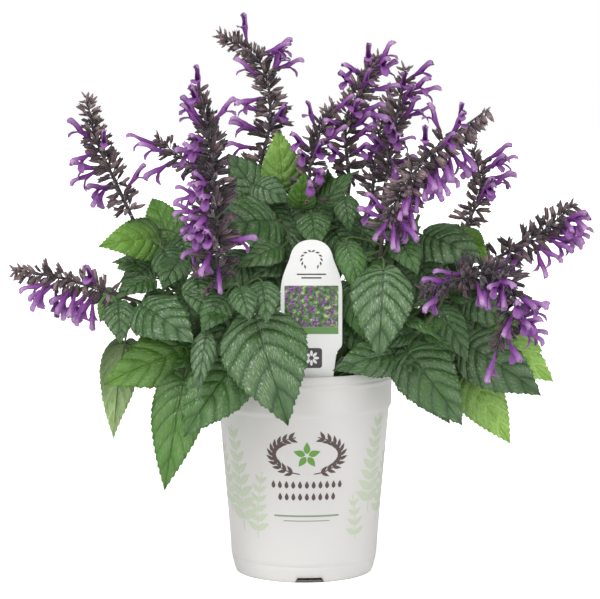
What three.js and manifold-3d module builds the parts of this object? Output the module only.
// A perennial salvia in flower, in its nursery pot: pot, soil, plant tag, leafy shoots and flower spikes.
// Millimetres, +Z up. The origin is the middle of the pot's flat base, and -Y is the front.
import * as THREE from "three";
import Module from "manifold-3d";

const wasm = await Module();
wasm.setup();
const { Manifold } = wasm;

// Pot: outer radius at each height, from the foot to the collar and the rim band.
const POT_HEIGHT = 190.8;
const POT_WALL = 1.2;
const POT_FLOOR = 2;
const POT_SIDES = 30;
const POT_PROFILE = [[62.4, 0], [65.4, 9], [68.4, 34], [78.6, 153], [80.8, 157], [81.2, 178], [82.5, 181]];
const RIM_RADIUS = 82.5;
const RIM_BAND = 9.5;
const NOTCH_COUNT = 3;
const NOTCH_HEIGHT = 5;
const NOTCH_FOOT = 28;
const NOTCH_TOP = 23;
const NOTCH_TURN = 4.5;

// Soil and the clearances between neighbours.
const GAP = 0.3;
const SOIL_TOP = 174;
const SOIL_BUMP = 2.2;
const SOIL_SIDES = 20;
const HOLE_DEPTH = 24;
const HOLE_RADIUS = 3.1;

// Plant tag: a flat stake with a domed top, pushed into the soil behind the front rim.
const TAG_X = 6.5;
const TAG_Y = -72.5;
const TAG_THICK = 0.9;
const TAG_WIDTH = 55;
const TAG_TOP = 313;
const TAG_SHOULDER = 268;
const TAG_WAIST = 220;
const TAG_STAKE = 22;
const TAG_TIP = 145;

// Shoots: square stems, petioles and toothed blades.
const STEM_FOOT_RADIUS = 2.6;
const STEM_TOP_RADIUS = 1.7;
const STEM_RINGS = 4;
const PETIOLE_RADIUS = 1;
const SHORT_STALK = 16;
const RIB_THICK = 1.3;
const RIM_THICK = 0.7;
const ARCH = 0.07;
const FOLD = 0.16;
const CURL = 0.3;
const RIPPLE = 0.05;
const RIB_SHARES = [0.32, 0.68];

// Flower spikes: calyces in whorls, each whorl turned from the last.
const RACHIS_RADIUS = 2.1;
const WHORL_STEP = 14;
const CALYX_CLEAR = 5.5;
const CALYX_LENGTH = 15;
const CALYX_RADIUS = 4.6;
const MOUTH_RADIUS = 1.5;
const COROLLA_LENGTH = 25;
const COROLLA_RADIUS = 3.6;
const LIP_DROP = 11;

// Each shoot: where its stem stands in the soil, the middle and top of the stem, and what it carries.
// A leaf row is [foot of the blade, its tip, its width, share by which its face turns to the front].
// A spike is the route of its rachis; an open flower is [share of the way up, compass degrees, rise degrees].
const SHOOTS = [
  {
    stem: [[-28, 0], [-118, -10, 253], [-158, -10, 330]],
    leaves: [
      [[-132, -5, 309], [-186, -40, 304], 46, 0.7],
      [[-131, 8, 295], [-175, 36, 277], 39, 0.6],
      [[-122, 15, 301], [-143, 57, 342], 44, 0.8],
      [[-138, -40, 274], [-168, -67, 259], 31, 0.3],
      [[-112, -38, 292], [-126, -78, 268], 32, 0.5],
      [[-176, 20, 257], [-191, 35, 227], 26, 0.6],
    ],
    spike: [[-158, -10, 330], [-179, -12, 376], [-191, -14, 405], [-197, -15, 437]],
    flowers: [
      [0.63, -155, 35], [0.55, -130, -25], [0.28, -170, 5], [0.23, -125, -45],
      [0.38, -85, 40], [0.12, -25, 45],
    ],
  },
  {
    stem: [[-30, -20], [-94, -45, 233], [-172, -60, 264]],
    leaves: [
      [[-166, -66, 256], [-162, -96, 222], 30, 0.6],
      [[-145, -72, 254], [-96, -114, 225], 51, 0.6],
      [[-163, -35, 216], [-174, -35, 128], 40, 0.5],
    ],
    spike: [[-172, -60, 264], [-216, -65, 278], [-258, -70, 285]],
    flowers: [
      [0.53, -160, -25], [0.47, -160, -35], [0.23, -170, -30], [0.17, -150, -45], [0.13, -150, -55],
      [0.55, -30, 65], [0.1, -110, 35],
    ],
  },
  {
    stem: [[-12, -32], [-62, -75, 228], [-76, -90, 276]],
    leaves: [
      [[-44, -104, 248], [-14, -146, 157], 77, 0.8],
      [[-70, -96, 264], [-90, -110, 234], 30, 0.6],
      [[-56, -118, 274], [-47, -136, 247], 26, 0.6],
      [[-37, -104, 277], [-32, -130, 244], 30, 0.6],
      [[-66, -72, 242], [-84, -88, 205], 34, 0.7],
      [[-95, -74, 279], [-88, -100, 244], 32, 0.7],
    ],
    spike: [[-76, -90, 276], [-78, -94, 340], [-82, -92, 395], [-92, -85, 446]],
    flowers: [
      [0.93, -100, 50], [0.87, -110, 30], [0.37, -165, 15], [0.22, -130, -10], [0.25, -130, 10],
      [0.2, -125, -60], [0.38, -120, -45], [0.18, -20, 0], [0.13, -80, -65],
      [0.77, -25, 40], [0.43, -120, 20],
    ],
    sideFrom: 0.52,
    side: [[-105, -85, 384], [-130, -80, 404]],
    sideFlowers: [[0.8, -165, 10], [0.63, -155, 10], [0.57, -155, -35]],
  },
  {
    stem: [[-10, 12], [-39, 15, 278], [-42, 20, 368]],
    leaves: [
      [[-26, -25, 326], [-89, -67, 321], 67, 0.75],
      [[-18, 6, 351], [-24, 10, 409], 42, 0.9],
      [[-16, -48, 290], [-47, -66, 278], 26, 0.5],
      [[-22, -58, 305], [-60, -78, 288], 32, 0.5],
      [[-14, -6, 318], [-32, -34, 277], 42, 0.7],
    ],
    spike: [[-42, 20, 368], [-31, 22, 420], [-40, 24, 468], [-76, 25, 494]],
    flowers: [
      [0.77, -115, 70], [0.53, -25, 55], [0.53, -170, 30], [0.25, -60, 30], [0.22, -165, 15], [0.13, -160, 0],
    ],
  },
  {
    stem: [[0, -8], [4, -10, 271], [5, -12, 342]],
    leaves: [
      [[-3, -20, 338], [0, -38, 372], 27, 0.8],
      [[7, -40, 333], [11, -66, 303], 32, 0.7],
      [[20, 14, 344], [22, -4, 373], 27, 0.8],
    ],
    spike: [[5, -12, 342], [7, -14, 386], [26, -12, 431]],
    flowers: [[0.67, -125, 55], [0.88, -45, 25], [0.38, -70, 30], [0.52, -125, 20]],
  },
  {
    stem: [[8, 10], [31, 8, 279], [42, 5, 360]],
    leaves: [
      [[16, -20, 340], [46, -12, 370], 24, 0.6],
      [[37, -30, 348], [41, -42, 317], 24, 0.6],
      [[26, -8, 318], [48, -34, 284], 42, 0.7],
    ],
    spike: [[42, 5, 360], [38, 3, 412], [52, 1, 446], [67, 0, 473]],
    flowers: [[0.78, -130, 10], [0.63, -125, 20], [0.82, -20, 45], [0.32, -65, 35], [0.12, -120, 15]],
  },
  {
    stem: [[14, 26], [62, 32, 267], [76, 35, 358]],
    leaves: [],
    spike: [[76, 35, 358], [85, 38, 411], [94, 40, 462]],
    flowers: [[0.87, -35, 25], [0.75, -40, 20], [0.47, -20, 45], [0.25, -125, 20]],
  },
  {
    stem: [[14, -22], [58, -45, 247], [71, -60, 319]],
    leaves: [
      [[38, -72, 309], [51, -88, 262], 28, 0.6],
      [[43, -42, 241], [68, -62, 200], 40, 0.7],
      [[39, -52, 273], [56, -62, 220], 36, 0.7],
      [[70, -92, 288], [65, -117, 212], 56, 0.8],
      [[85, -62, 312], [101, -84, 282], 29, 0.6],
    ],
    spike: [[71, -60, 319], [96, -70, 370], [125, -66, 400], [163, -60, 428]],
    flowers: [
      [0.57, -100, -75], [0.53, -70, -70], [0.65, -15, -60], [0.75, -85, 40],
      [0.67, -60, 40], [0.85, -20, 45],
    ],
    sideFrom: 0.35,
    side: [[82, -76, 348], [75, -82, 328]],
    sideFlowers: [[0.8, -145, 10], [0.6, -140, -55], [0.63, -90, -80], [0.6, -25, -55], [0.7, -135, 25]],
  },
  {
    stem: [[28, 8], [107, 2, 242], [146, 10, 311]],
    leaves: [
      [[108, -36, 314], [160, -62, 291], 49, 0.7],
      [[136, -5, 311], [167, -47, 288], 40, 0.7],
    ],
    spike: [[146, 10, 311], [163, 14, 352], [157, 18, 387]],
    flowers: [[0.8, -20, 25], [0.67, -50, 25], [0.43, -15, 30], [0.65, -125, 15]],
  },
  {
    stem: [[32, -8], [111, -22, 231], [159, -15, 282]],
    leaves: [
      [[145, -38, 216], [215, -45, 169], 56, 0.7],
      [[122, -50, 249], [147, -62, 202], 32, 0.6],
      [[113, -30, 232], [131, -60, 190], 44, 0.7],
    ],
    spike: [[159, -15, 282], [197, -20, 304], [222, -22, 320], [244, -22, 340]],
    flowers: [[0.77, -45, 0], [0.72, -20, -15], [0.67, -10, -20], [0.53, -15, -15], [0.4, -25, -35]],
  },
  {
    stem: [[26, -28], [99, -62, 226], [134, -80, 280]],
    leaves: [
      [[89, -72, 214], [141, -85, 148], 59, 0.8],
      [[88, -92, 246], [121, -100, 225], 23, 0.2],
      [[84, -66, 212], [25, -92, 202], 30, 0.4],
      [[110, -45, 179], [131, -64, 146], 31, 0.7],
    ],
    spike: [[134, -80, 280], [172, -90, 284], [186, -98, 258], [170, -100, 222]],
    flowers: [
      [0.13, -165, 0], [0.97, -135, -70], [0.88, -65, -40], [0.8, -15, 25], [0.75, -15, -45],
      [0.2, -100, -50], [0.68, -115, -40],
    ],
    sideFrom: 0.16,
    side: [[120, -95, 275], [105, -105, 270]],
    sideFlowers: [[0.2, -160, -5], [0.38, -135, -45]],
  },
  {
    stem: [[-16, 30], [-73, 40, 230], [-94, 70, 280]],
    pairs: 2,
    faces: 135,
    spike: [[-94, 70, 280], [-94, 85, 338], [-93, 92, 410]],
    flowers: [[0.35, 150, 15], [0.65, 80, 25]],
  },
  {
    stem: [[2, 36], [25, 55, 247], [65, 90, 338]],
    pairs: 1,
    faces: 95,
    spike: [[65, 90, 338], [71, 100, 395], [85, 108, 445]],
    flowers: [[0.35, 60, 15], [0.65, 130, 25]],
  },
  {
    stem: [[30, 28], [75, 50, 247], [110, 88, 324]],
    pairs: 2,
    faces: 25,
  },
  {
    stem: [[-24, -38], [-70, -52, 210], [-98, -66, 213]],
    leaves: [
      [[-105, -62, 211], [-180, -68, 182], 48, 0.7],
      [[-106, -84, 190], [-124, -100, 92], 50, 0.7],
      [[-61, -86, 205], [-106, -114, 142], 58, 0.7],
    ],
  },
  {
    stem: [[36, 12], [98, 12, 212], [150, 8, 224]],
    leaves: [
      [[163, 0, 224], [231, 2, 175], 51, 0.7],
      [[172, 26, 232], [224, 34, 199], 34, 0.7],
      [[147, -15, 187], [190, -15, 120], 49, 0.8],
    ],
  },
];

const vec = (p) => new THREE.Vector3(p[0], p[1], p[2]);
const UP = vec([0, 0, 1]);
const FRONT = vec([0, -1, 0]);
const degrees = THREE.MathUtils.degToRad;

// The same share from 0 to 1 for the same seed.
function draw(seed) {
  const wave = Math.sin(seed * 12.9898) * 43758.5453;
  return wave - Math.floor(wave);
}

function curveThrough(points) {
  return new THREE.CatmullRomCurve3(points.map(vec), false, "catmullrom", 0.5);
}

// A closed solid from its corners and triangles, turned to face out.
function solid(points, triangles) {
  const build = (faces) =>
    new Manifold(
      new wasm.Mesh({
        numProp: 3,
        vertProperties: new Float32Array(points.flatMap((p) => [p.x, p.y, p.z])),
        triVerts: new Uint32Array(faces.flat()),
      }),
    );
  const made = build(triangles);
  return made.volume() > 0 ? made : build(triangles.map(([a, b, c]) => [a, c, b]));
}

// Solids joined into one body: a hollow sealed by the joining is filled and a loose scrap is dropped.
function fused(pieces) {
  const bodies = Manifold.union(pieces).decompose();
  return bodies.reduce((best, body) => (body.volume() > best.volume() ? body : best));
}

// A closed skin over rings of points; a ring of one point is a tip.
function loft(rings) {
  const starts = [];
  const points = [];
  for (const ring of rings) {
    starts.push(points.length);
    points.push(...ring);
  }
  const triangles = [];
  const cap = (k, turned) => {
    for (let i = 1; i + 1 < rings[k].length; i++) {
      const [a, b, c] = [starts[k], starts[k] + i, starts[k] + i + 1];
      triangles.push(turned ? [a, c, b] : [a, b, c]);
    }
  };
  cap(0, true);
  for (let k = 0; k + 1 < rings.length; k++) {
    const count = Math.max(rings[k].length, rings[k + 1].length);
    for (let i = 0; i < count; i++) {
      const j = (i + 1) % count;
      const [low, high] = [starts[k], starts[k + 1]];
      if (rings[k].length > 1) triangles.push([low + i, low + j, high + (rings[k + 1].length > 1 ? j : 0)]);
      if (rings[k + 1].length > 1) triangles.push([low + (rings[k].length > 1 ? i : 0), high + j, high + i]);
    }
  }
  cap(rings.length - 1, false);
  return solid(points, triangles);
}

// A tube of few sides along a row of points; a radius of 0 closes it to a tip.
function tube(path, radii, sides) {
  const chord = path[path.length - 1].clone().sub(path[0]);
  const spread = [Math.abs(chord.x), Math.abs(chord.y), Math.abs(chord.z)];
  const least = spread.indexOf(Math.min(...spread));
  const reference = vec([0, 1, 2].map((k) => (k === least ? 1 : 0)));
  const rings = path.map((point, k) => {
    if (radii[k] === 0) return [point];
    const tangent = path[Math.min(k + 1, path.length - 1)].clone().sub(path[Math.max(k - 1, 0)]).normalize();
    const side = new THREE.Vector3().crossVectors(reference, tangent).normalize();
    const other = new THREE.Vector3().crossVectors(tangent, side);
    return Array.from({ length: sides }, (_, i) => {
      const angle = (2 * Math.PI * i) / sides;
      return point
        .clone()
        .addScaledVector(side, radii[k] * Math.cos(angle))
        .addScaledVector(other, radii[k] * Math.sin(angle));
    });
  });
  return loft(rings);
}

function taper(count, from, to) {
  return Array.from({ length: count }, (_, i) => from + ((to - from) * i) / (count - 1));
}

// Half the width of a blade, as a share of its widest, at a share of the way to its tip.
function halfWidth(u) {
  return (Math.pow(u, 0.45) * Math.pow(1 - u, 1.1)) / 0.393;
}

// One edge of a heart-shaped blade with saw teeth, as [share along, share across].
function toothedEdge(teeth) {
  const edge = [[-0.04, 0.09], [-0.075, 0.4]];
  const step = 0.9 / teeth;
  for (let i = 0; i < teeth; i++) {
    const valley = 0.05 + step * i;
    const peak = valley + step * 0.75;
    edge.push([valley, halfWidth(valley) * 0.94]);
    edge.push([peak, halfWidth(peak) * 1.08]);
  }
  return edge;
}

// The surface of one blade: arched along, folded at the rib, curled down and rippled at the edges.
function bladeFrame([foot, tip, width, front]) {
  const base = vec(foot);
  const along = vec(tip).sub(base);
  const length = along.length();
  const look = UP.clone().multiplyScalar(1 - front).addScaledVector(FRONT, front);
  const normal = look.addScaledVector(along, -look.dot(along) / (length * length)).normalize();
  const across = new THREE.Vector3().crossVectors(normal, along).normalize();
  const half = width / 2;
  const surface = (u, s, lift) => {
    const out = Math.abs(s);
    const wave = RIPPLE * s * s * Math.sin(2 * Math.PI * (3 * u + (s > 0 ? 0.3 : 0)));
    const rise = ARCH * length * 4 * u * (1 - u) + half * (FOLD * out - CURL * s * s + wave) + lift;
    return base
      .clone()
      .addScaledVector(along, u)
      .addScaledVector(across, s * half)
      .addScaledVector(normal, rise);
  };
  return { surface, across, along };
}

// The triangles of one face of a blade: each half is a strip between the rib and its edge.
function bladeFace(places, rim, tip) {
  const face = [];
  for (const side of [1, -1]) {
    const rimAt = (k) => (side > 0 ? k : (rim - k) % rim);
    let rib = 0;
    let next = rim;
    let k = 1;
    while (k < tip) {
      const moveRib = next < places.length && places[next][0] < places[rimAt(k + 1)][0];
      const [a, b, c] = [rib, rimAt(k), moveRib ? next : rimAt(k + 1)];
      face.push(side > 0 ? [a, b, c] : [a, c, b]);
      if (moveRib) rib = next++;
      else k++;
    }
  }
  return face;
}

// A leaf as one closed solid: the blade, split alike on both faces, and its stalk down into the stem.
function leafSolid(leaf, root) {
  const { surface, across, along } = bladeFrame(leaf);
  const edge = toothedEdge(teethOf(leaf[2]));
  const places = [[0, 0], ...edge, [1, 0], ...edge.map(([u, s]) => [u, -s]).reverse()];
  const rim = places.length;
  places.push(...RIB_SHARES.map((u) => [u, 0]));
  const total = places.length;
  const face = bladeFace(places, rim, edge.length + 1);
  const thick = (k) => (k >= rim ? RIB_THICK : RIM_THICK) / 2;
  const points = [
    ...places.map(([u, s], k) => surface(u, s, thick(k))),
    ...places.map(([u, s], k) => surface(u, s, -thick(k))),
  ];
  const triangles = [...face, ...face.map(([a, b, c]) => [a + total, c + total, b + total])];
  for (let k = 1; k + 1 < rim; k++) {
    triangles.push([k, k + total, k + 1], [k + 1, k + total, k + 1 + total]);
  }
  const collar = [0, rim - 1, rim - 1 + total, total, 1 + total, 1];
  const end = surface(0, 0, -0.8).addScaledVector(along, -(0.03 * along.length() + 1) / along.length());
  const bend = end.clone().addScaledVector(along, (-0.4 * root.distanceTo(end)) / along.length());
  const middle = new THREE.QuadraticBezierCurve3(root, bend, end).getPoint(0.5);
  const stations = [
    [end, along.clone().negate()],
    [middle, root.clone().sub(end)],
    [root, root.clone().sub(bend)],
  ];
  if (root.distanceTo(end) < SHORT_STALK) stations.splice(1, 1);
  const rings = stations.map(([centre, way]) => stalkRing(centre, way, across, PETIOLE_RADIUS));
  const start = points.length;
  points.push(...rings.flat());
  for (let i = 0; i < 3; i++) {
    const j = (i + 1) % 3;
    const [c0, c1, c2] = [collar[2 * i], collar[2 * i + 1], collar[(2 * i + 2) % 6]];
    triangles.push([start + i, c0, c1], [start + i, c1, start + j], [start + j, c1, c2]);
    for (let low = start; low + 3 < points.length; low += 3) {
      triangles.push([low + 3 + i, low + i, low + 3 + j], [low + i, low + j, low + 3 + j]);
    }
  }
  const last = points.length - 3;
  triangles.push([last, last + 1, last + 2]);
  return solid(points, triangles);
}

// Three corners round a leaf stalk that runs a given way, the first on the side that the blade faces.
function stalkRing(centre, way, across, radius) {
  const run = way.clone().normalize();
  const side = across.clone().addScaledVector(run, -across.dot(run)).normalize();
  const top = new THREE.Vector3().crossVectors(side, run);
  return [0, 1, 2].map((i) => {
    const angle = (2 * Math.PI * i) / 3;
    return centre
      .clone()
      .addScaledVector(top, radius * Math.cos(angle))
      .addScaledVector(side, -radius * Math.sin(angle));
  });
}

// Places along the straight stretches of a path, short of its end.
function placesOn(path) {
  const steps = path.slice(1).flatMap((end, k) => {
    return Array.from({ length: 12 }, (_, i) => path[k].clone().lerp(end, i / 12));
  });
  return steps.slice(0, -3);
}

// Where on the stem each stalk grows: near its blade, behind it if it can, and clear of the others.
function stalkRoots(stem, leaves) {
  const roots = [];
  for (const [foot, tip] of leaves) {
    const along = vec(tip).sub(vec(foot)).normalize();
    const cost = (p) => {
      const reach = vec(foot).sub(p);
      return reach.length() * Math.exp((-1.5 * reach.dot(along)) / reach.length());
    };
    const free = placesOn(stem).filter((p) => {
      return p.z > SOIL_TOP + 12 && roots.every((root) => root.distanceTo(p) > 4);
    });
    roots.push(free.reduce((best, p) => (cost(p) < cost(best) ? p : best)));
  }
  return roots;
}

function teethOf(width) {
  if (width > 60) return 5;
  if (width > 42) return 4;
  return width > 25 ? 3 : 2;
}

// Leaves in opposite pairs up a stem on the far side of the plant, spread either way from where it faces.
function pairedLeaves(shoot, stem, number) {
  const leaves = [];
  for (let pair = 0; pair < shoot.pairs; pair++) {
    const node = stem.getPoint(0.5 + (0.4 * pair) / shoot.pairs);
    for (const side of [0, 1]) {
      const seed = number * 17 + pair * 5 + side;
      const swing = (side ? 1 : -1) * (pair % 2 ? 66 : 36);
      const turn = degrees(shoot.faces + swing + 14 * draw(seed));
      const out = vec([Math.cos(turn), Math.sin(turn), 0]);
      const length = 62 + 26 * draw(seed + 0.3);
      const foot = node.clone().addScaledVector(out, 18).addScaledVector(UP, 8);
      const tip = foot.clone().addScaledVector(out, length * 0.85).addScaledVector(UP, -length * 0.45);
      leaves.push([foot.toArray(), tip.toArray(), length * 0.62, -0.4]);
    }
  }
  return leaves;
}

// A stem stands upright in its hole and then leans out to its top.
function stemCurve(shoot) {
  const [[x, y], middle, top] = shoot.stem;
  return curveThrough([[x, y, SOIL_TOP + 5], middle, top]);
}

function stemPath(shoot) {
  const [x, y] = shoot.stem[0];
  return [vec([x, y, SOIL_TOP - HOLE_DEPTH + GAP]), ...stemCurve(shoot).getPoints(STEM_RINGS)];
}

function leafyStem(shoot, number) {
  const path = stemPath(shoot);
  const leaves = shoot.pairs ? pairedLeaves(shoot, stemCurve(shoot), number) : shoot.leaves;
  const stem = tube(path, taper(path.length, STEM_FOOT_RADIUS, STEM_TOP_RADIUS), 4);
  const roots = stalkRoots(path, leaves);
  return fused([stem, ...leaves.map((leaf, k) => leafSolid(leaf, roots[k]))]);
}

// Three corners round a way, two of them level below it.
function lowRing(centre, way, radius) {
  const level = new THREE.Vector3().crossVectors(way, UP).normalize();
  const crest = new THREE.Vector3().crossVectors(level, way);
  return [-30, 90, 210].map((turn) => {
    const out = level.clone().multiplyScalar(Math.cos(degrees(turn)) * radius);
    return out.addScaledVector(crest, Math.sin(degrees(turn)) * radius).add(centre);
  });
}

// An open flower in one skin: calyx, narrow mouth, wide throat, hooded upper lip and a hanging lower lip.
function flower(root, direction, tangent) {
  const cup = direction.clone().multiplyScalar(0.8).addScaledVector(tangent, 0.2).normalize();
  const mouth = root.clone().addScaledVector(cup, CALYX_LENGTH);
  const at = (share, rise) =>
    mouth.clone().addScaledVector(direction, share * COROLLA_LENGTH).addScaledVector(UP, rise);
  const points = [
    root,
    ...lowRing(root.clone().lerp(mouth, 0.6), cup, CALYX_RADIUS),
    ...lowRing(mouth, direction, MOUTH_RADIUS),
    ...lowRing(at(0.55, 1), direction, COROLLA_RADIUS),
    at(1, -1),
    at(0.6, -LIP_DROP),
  ];
  const triangles = [];
  for (let i = 0; i < 3; i++) {
    const j = (i + 1) % 3;
    triangles.push([0, 1 + j, 1 + i], [1 + i, 1 + j, 4 + i], [1 + j, 4 + j, 4 + i], [7 + i, 7 + j, 10]);
    const skin = [[4 + i, 4 + j], [4 + j, 7 + j], [7 + j, 7 + i], [7 + i, 4 + i]];
    if (i === 2) triangles.push(...skin.map(([a, b]) => [a, b, 11]));
    else triangles.push([4 + i, 4 + j, 7 + i], [4 + j, 7 + j, 7 + i]);
  }
  return solid(points, triangles);
}

// Whether a calyx would stand in an open flower.
function crowded(root, tip, open) {
  return open.some(({ from, to }) => {
    const axis = new THREE.Line3(from, to);
    const near = (p) => axis.closestPointToPoint(p, true, new THREE.Vector3()).distanceTo(p);
    return near(tip) < CALYX_CLEAR || near(root.clone().lerp(tip, 0.5)) < CALYX_CLEAR * 0.8;
  });
}

// One calyx drawn out of four corners of the rachis: a waist, a full middle and a point.
function calyxSkin(points, corners, way, length, full, tangent) {
  const centre = corners.reduce((sum, k) => sum.add(points[k]), new THREE.Vector3()).multiplyScalar(0.25);
  const side = points[corners[1]].clone().sub(points[corners[0]]);
  side.addScaledVector(way, -side.dot(way)).normalize();
  const high = tangent.clone().addScaledVector(way, -tangent.dot(way)).normalize();
  const start = points.length;
  for (const [x, y] of [[-1, -1], [1, -1], [1, 1], [-1, 1]]) {
    const corner = centre.clone().addScaledVector(way, length * 0.6);
    points.push(corner.addScaledVector(side, full * 0.72 * x).addScaledVector(high, full * 0.72 * y));
  }
  points.push(centre.clone().addScaledVector(way, length));
  const triangles = [];
  for (let i = 0; i < 4; i++) {
    const j = (i + 1) % 4;
    triangles.push([corners[i], corners[j], start + j], [corners[i], start + j, start + i]);
    triangles.push([start + i, start + j, start + 4]);
  }
  return triangles;
}

// A rachis in one skin with whorls of three calyces, each whorl turned from the last; smaller near the tip.
function whorledRachis(start, route, open) {
  const count = Math.round(route.getLength() / WHORL_STEP);
  const points = [];
  const triangles = [];
  const ring = (centre, tangent, radius, turn) => {
    const side = new THREE.Vector3().crossVectors(FRONT, tangent).normalize();
    const other = new THREE.Vector3().crossVectors(tangent, side);
    const first = points.length;
    for (let i = 0; i < 3; i++) {
      const angle = turn + (2 * Math.PI * i) / 3;
      const corner = centre.clone().addScaledVector(side, radius * Math.cos(angle));
      points.push(corner.addScaledVector(other, radius * Math.sin(angle)));
    }
    return first;
  };
  const band = (low, high) => {
    for (let i = 0; i < 3; i++) {
      const j = (i + 1) % 3;
      triangles.push([low + i, low + j, high + i], [low + j, high + j, high + i]);
    }
  };
  let last = ring(start.foot, start.heading, RACHIS_RADIUS * 0.85, 0);
  triangles.push([last, last + 2, last + 1]);
  for (let whorl = 0; whorl < count; whorl++) {
    const share = (whorl + 0.55) / count;
    const tangent = route.getTangent(share);
    const node = route.getPoint(share);
    const turn = (whorl + 1) * (Math.PI / 3);
    const size = 1 - 0.45 * share * share;
    const [low, high] = [-2, 2].map((step) => {
      return ring(node.clone().addScaledVector(tangent, step * size), tangent, RACHIS_RADIUS * size, turn);
    });
    band(last, low);
    const lean = degrees(70 - 34 * share);
    for (let i = 0; i < 3; i++) {
      const corners = [low + i, low + ((i + 1) % 3), high + ((i + 1) % 3), high + i];
      const out = points[corners[0]].clone().add(points[corners[1]]).multiplyScalar(0.5);
      out.sub(node).addScaledVector(tangent, 2 * size).normalize();
      const way = tangent.clone().multiplyScalar(Math.cos(lean)).addScaledVector(out, Math.sin(lean));
      way.normalize();
      const tip = node.clone().addScaledVector(way, CALYX_LENGTH * size);
      if (crowded(node, tip, open)) {
        triangles.push([corners[0], corners[1], corners[2]], [corners[0], corners[2], corners[3]]);
      } else {
        triangles.push(...calyxSkin(points, corners, way, CALYX_LENGTH * size, CALYX_RADIUS * size, tangent));
      }
    }
    last = high;
  }
  const end = points.push(route.getPoint(1).addScaledVector(route.getTangent(1), 3)) - 1;
  for (let i = 0; i < 3; i++) triangles.push([last + i, last + ((i + 1) % 3), end]);
  return solid(points, triangles);
}

function compass(turn, rise) {
  const level = Math.cos(degrees(rise));
  return vec([level * Math.cos(degrees(turn)), level * Math.sin(degrees(turn)), Math.sin(degrees(rise))]);
}

// Where each open flower of a spray springs from, which way it points and how far it reaches.
function openFlowers(route, flowers) {
  return flowers.map(([share, turn, rise]) => {
    const from = route.getPoint(Math.max(share, 0.08));
    const direction = compass(turn, rise);
    const to = from.clone().addScaledVector(direction, 28);
    return { from, to, direction, tangent: route.getTangent(share) };
  });
}

// The straight stretches of a rachis that another's calyces keep clear of.
function stretches(route) {
  const places = route.getPoints(4);
  return places.slice(1).map((to, k) => ({ from: places[k], to }));
}

// The spike stands on the square top of its stem, in line with it; a side spray grows out of its rachis.
function flowerSpike(shoot) {
  const stem = stemPath(shoot);
  const top = stem[stem.length - 1];
  const heading = top.clone().sub(stem[stem.length - 2]).normalize();
  const foot = top.clone().addScaledVector(heading, GAP);
  const main = curveThrough(shoot.spike);
  const open = openFlowers(main, shoot.flowers);
  const pieces = [];
  const obstacles = [];
  if (shoot.side) {
    const root = main.getPoint(shoot.sideFrom);
    const side = curveThrough([root.toArray(), ...shoot.side]);
    const start = { foot: root, heading: vec(shoot.side[0]).sub(root).normalize() };
    obstacles.push(...stretches(side));
    open.push(...openFlowers(side, shoot.sideFlowers));
    pieces.push(whorledRachis(start, side, [...open, ...stretches(main)]));
  }
  pieces.push(whorledRachis({ foot, heading }, main, [...open, ...obstacles]));
  for (const { from, direction, tangent } of open) pieces.push(flower(from, direction, tangent));
  return fused(pieces);
}

// A surface as a solid, and a solid as a flat-shaded surface.
function fromGeometry(geometry) {
  const position = geometry.getAttribute("position");
  const order = geometry.index ? Array.from(geometry.index.array) : [...Array(position.count).keys()];
  const mesh = new wasm.Mesh({
    numProp: 3,
    vertProperties: new Float32Array(position.array),
    triVerts: new Uint32Array(order),
  });
  mesh.merge();
  return new Manifold(mesh);
}

function toGeometry(made) {
  const mesh = made.getMesh();
  const geometry = new THREE.BufferGeometry();
  geometry.setAttribute("position", new THREE.BufferAttribute(mesh.vertProperties, 3));
  geometry.setIndex(new THREE.BufferAttribute(mesh.triVerts, 1));
  const flat = geometry.toNonIndexed();
  flat.computeVertexNormals();
  return flat;
}

function turned(profile, sides) {
  const lathe = new THREE.LatheGeometry(profile.map(([r, z]) => new THREE.Vector2(r, z)), sides);
  return fromGeometry(lathe.rotateX(Math.PI / 2));
}

// Inner radius of the pot at a height.
function innerRadius(z) {
  const k = Math.max(POT_PROFILE.findIndex(([, height]) => height > z), 1);
  const [r0, z0] = POT_PROFILE[k - 1];
  const [r1, z1] = POT_PROFILE[k];
  return r0 + ((r1 - r0) * (z - z0)) / (z1 - z0) - POT_WALL;
}

function potBody() {
  const outer = [[0, 0], ...POT_PROFILE, [RIM_RADIUS, POT_HEIGHT - 0.8], [RIM_RADIUS - 0.8, POT_HEIGHT]];
  const top = [[RIM_RADIUS - 2, POT_HEIGHT], [RIM_RADIUS - 2.5, POT_HEIGHT - RIM_BAND - 1]];
  const wall = [178, 157, 153, 34].map((z) => [innerRadius(z), z]);
  const floor = [[innerRadius(POT_FLOOR), POT_FLOOR], [0, POT_FLOOR]];
  const shell = turned([...outer, ...top, ...wall, ...floor], POT_SIDES);
  return shell.subtract(Manifold.union(drainNotches()));
}

// Tapered slots through the foot of the wall and the edge of the floor.
function drainNotches() {
  const outline = new THREE.Shape([
    new THREE.Vector2(-NOTCH_FOOT / 2, -1),
    new THREE.Vector2(NOTCH_FOOT / 2, -1),
    new THREE.Vector2(NOTCH_TOP / 2, NOTCH_HEIGHT),
    new THREE.Vector2(-NOTCH_TOP / 2, NOTCH_HEIGHT),
  ]);
  const slot = new THREE.ExtrudeGeometry(outline, { depth: 16, bevelEnabled: false });
  slot.rotateX(Math.PI / 2).translate(0, -54, 0);
  const block = fromGeometry(slot);
  return Array.from({ length: NOTCH_COUNT }, (_, k) => {
    return block.rotate([0, 0, NOTCH_TURN + (k * 360) / NOTCH_COUNT]);
  });
}

// Height of the soil's rough surface.
function soilHeight(x, y) {
  const rough = Math.sin(x * 0.21 + 1.3) * Math.cos(y * 0.17) + 0.6 * Math.sin(x * 0.43 - y * 0.37);
  return SOIL_TOP - SOIL_BUMP + SOIL_BUMP * 0.6 * rough;
}

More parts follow.
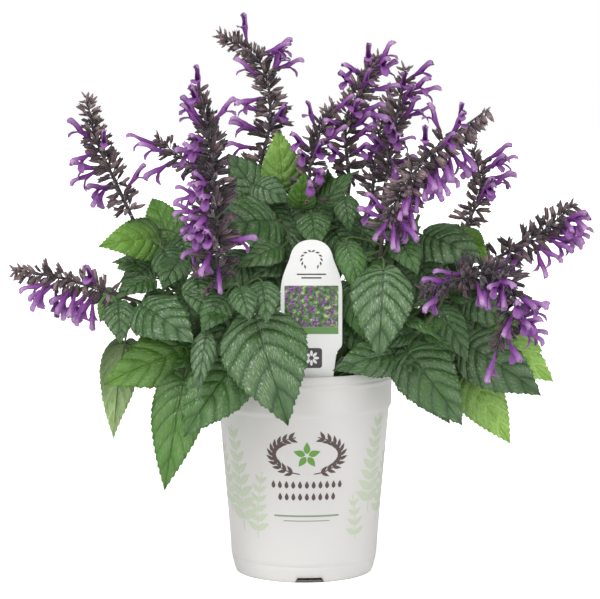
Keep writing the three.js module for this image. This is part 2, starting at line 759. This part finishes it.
function soilBody() {
  const low = [[0, POT_FLOOR + GAP], [innerRadius(POT_FLOOR) - 1, POT_FLOOR + GAP]];
  const wall = [34, 153, SOIL_TOP - 3].map((z) => [innerRadius(z) - GAP - 0.4, z]);
  const surface = [56, 26, 0].map((r) => [r, SOIL_TOP]);
  const lathe = new THREE.LatheGeometry(
    [...low, ...wall, ...surface].map(([r, z]) => new THREE.Vector2(r, z)),
    SOIL_SIDES,
  ).rotateX(Math.PI / 2);
  const position = lathe.getAttribute("position");
  for (let i = 0; i < position.count; i++) {
    if (position.getZ(i) < SOIL_TOP - 0.5) continue;
    position.setZ(i, soilHeight(position.getX(i), position.getY(i)));
  }
  return fromGeometry(lathe).subtract(Manifold.union([...stemHoles(), tagBody(GAP)]));
}

function stemHoles() {
  const depth = HOLE_DEPTH + 10;
  return SHOOTS.map(({ stem: [[x, y]] }) => {
    const hole = new THREE.CylinderGeometry(HOLE_RADIUS, HOLE_RADIUS, depth, 4);
    return fromGeometry(hole.rotateX(Math.PI / 2).translate(x, y, SOIL_TOP - HOLE_DEPTH + depth / 2));
  });
}

// The tag, or with a margin the slot that it stands in.
function tagBody(margin) {
  const half = TAG_WIDTH / 2 + margin;
  const stake = TAG_STAKE / 2 + margin;
  const shape = new THREE.Shape();
  shape.moveTo(-stake * 0.3, TAG_TIP - margin);
  shape.lineTo(stake * 0.3, TAG_TIP - margin);
  shape.lineTo(stake, TAG_TIP + 25);
  shape.lineTo(TAG_WIDTH * 0.33 + margin, SOIL_TOP + 6);
  shape.lineTo(half - 5, TAG_WAIST - 8);
  shape.lineTo(half, TAG_WAIST);
  shape.lineTo(half, TAG_SHOULDER);
  shape.bezierCurveTo(half - 1, TAG_SHOULDER + 16, half - 7, TAG_SHOULDER + 22, half - 9, TAG_SHOULDER + 32);
  shape.bezierCurveTo(half - 12, TAG_TOP - 3, half - 20, TAG_TOP, 0, TAG_TOP);
  shape.bezierCurveTo(20 - half, TAG_TOP, 12 - half, TAG_TOP - 3, 9 - half, TAG_SHOULDER + 32);
  shape.bezierCurveTo(7 - half, TAG_SHOULDER + 22, 1 - half, TAG_SHOULDER + 16, -half, TAG_SHOULDER);
  shape.lineTo(-half, TAG_WAIST);
  shape.lineTo(5 - half, TAG_WAIST - 8);
  shape.lineTo(-TAG_WIDTH * 0.33 - margin, SOIL_TOP + 6);
  shape.lineTo(-stake, TAG_TIP + 25);
  shape.closePath();
  const thick = TAG_THICK + 2 * margin;
  const card = new THREE.ExtrudeGeometry(shape, { depth: thick, bevelEnabled: false, curveSegments: 5 });
  return fromGeometry(card.rotateX(Math.PI / 2).translate(TAG_X, TAG_Y + thick / 2, 0));
}

const COLOURS = {
  pot: new THREE.MeshStandardMaterial({ color: 0xe4e3e0, roughness: 0.42, metalness: 0 }),
  soil: new THREE.MeshStandardMaterial({ color: 0x3a2a20, roughness: 0.95, metalness: 0 }),
  tag: new THREE.MeshStandardMaterial({ color: 0xf2f2f0, roughness: 0.35, metalness: 0 }),
  leaf: new THREE.MeshStandardMaterial({ color: 0x4f7438, roughness: 0.55, metalness: 0 }),
  flower: new THREE.MeshStandardMaterial({ color: 0x54305f, roughness: 0.6, metalness: 0 }),
};

const plant = new THREE.Group();

function add(name, made, colour) {
  const mesh = new THREE.Mesh(toGeometry(made), COLOURS[colour].clone());
  mesh.name = name;
  plant.add(mesh);
}

const numbered = (name, k) => `${name}_${String(k + 1).padStart(2, "0")}`;

add("pot", potBody(), "pot");
add("soil", soilBody(), "soil");
add("plant_tag", tagBody(0), "tag");
SHOOTS.forEach((shoot, k) => {
  add(numbered("leafy_stem", k), leafyStem(shoot, k), "leaf");
  if (shoot.spike) add(numbered("flower_spike", k), flowerSpike(shoot), "flower");
});

export default plant;
